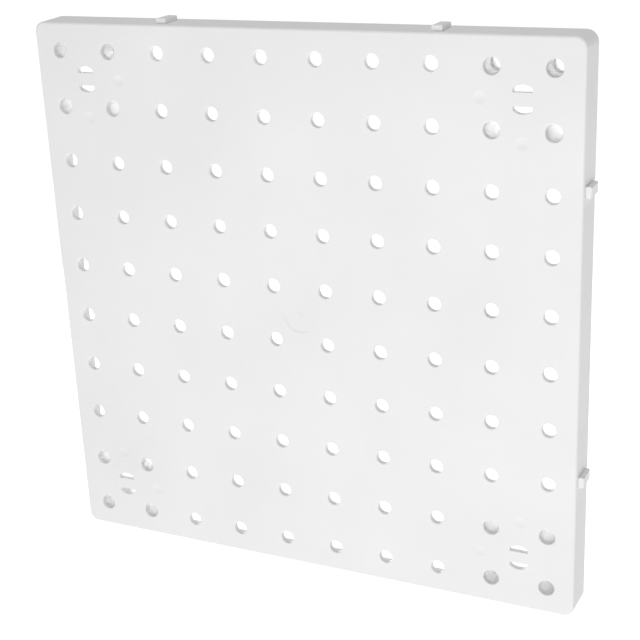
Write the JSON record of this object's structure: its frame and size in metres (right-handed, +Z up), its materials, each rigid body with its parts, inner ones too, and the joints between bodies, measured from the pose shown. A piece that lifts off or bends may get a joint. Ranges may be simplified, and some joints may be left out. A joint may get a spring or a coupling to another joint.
{
  "type": "pegboard wall tile",
  "caption": "Square moulded pegboard tile: a shallow tray with a grid of peg holes, corner spacers with soft rings, and side keys that join it to its neighbours.",
  "frame": {"origin": "centre of the plane of the rear rim, which lies on the wall, midway between the four outermost screw holes", "axes": "+X to the viewer's right, +Y into the wall, +Z up; the perforated face looks along -Y"},
  "size_m": [0.2561, 0.016, 0.2561],
  "materials": {
    "panel_plastic": "fine satin moulded surface",
    "spacer_plastic": "smooth satin",
    "clip_plastic": "smooth satin",
    "ring_rubber": "matt soft pale grey"
  },
  "bodies": {
    "tile": {"panel": "panel_plastic"},
    "corner_top_left": {"spacer_top_left": "spacer_plastic", "grip_rings_top_left": "ring_rubber"},
    "corner_top_right": {"spacer_top_right": "spacer_plastic", "grip_rings_top_right": "ring_rubber"},
    "corner_bottom_left": {"spacer_bottom_left": "spacer_plastic", "grip_rings_bottom_left": "ring_rubber"},
    "corner_bottom_right": {"spacer_bottom_right": "spacer_plastic", "grip_rings_bottom_right": "ring_rubber"},
    "key_top_left": {"clip_top_left": "clip_plastic"},
    "key_top_right": {"clip_top_right": "clip_plastic"},
    "key_right_lower": {"clip_right_lower": "clip_plastic"},
    "key_right_upper": {"clip_right_upper": "clip_plastic"}
  },
  "joints": [
    {"name": "spacer_pull_top_left", "type": "slide", "parent": "tile", "child": "corner_top_left", "axis": [0, 1, 0], "range_m": [0, 0.018]},
    {"name": "spacer_pull_top_right", "type": "slide", "parent": "tile", "child": "corner_top_right", "axis": [0, 1, 0], "range_m": [0, 0.018]},
    {"name": "spacer_pull_bottom_left", "type": "slide", "parent": "tile", "child": "corner_bottom_left", "axis": [0, 1, 0], "range_m": [0, 0.018]},
    {"name": "spacer_pull_bottom_right", "type": "slide", "parent": "tile", "child": "corner_bottom_right", "axis": [0, 1, 0], "range_m": [0, 0.018]},
    {"name": "key_push_top_left", "type": "slide", "parent": "tile", "child": "key_top_left", "axis": [0, 0, -1], "range_m": [0, 0.006]},
    {"name": "key_push_top_right", "type": "slide", "parent": "tile", "child": "key_top_right", "axis": [0, 0, -1], "range_m": [0, 0.006]},
    {"name": "key_push_right_lower", "type": "slide", "parent": "tile", "child": "key_right_lower", "axis": [-1, 0, 0], "range_m": [0, 0.006]},
    {"name": "key_push_right_upper", "type": "slide", "parent": "tile", "child": "key_right_upper", "axis": [-1, 0, 0], "range_m": [0, 0.006]}
  ]
}
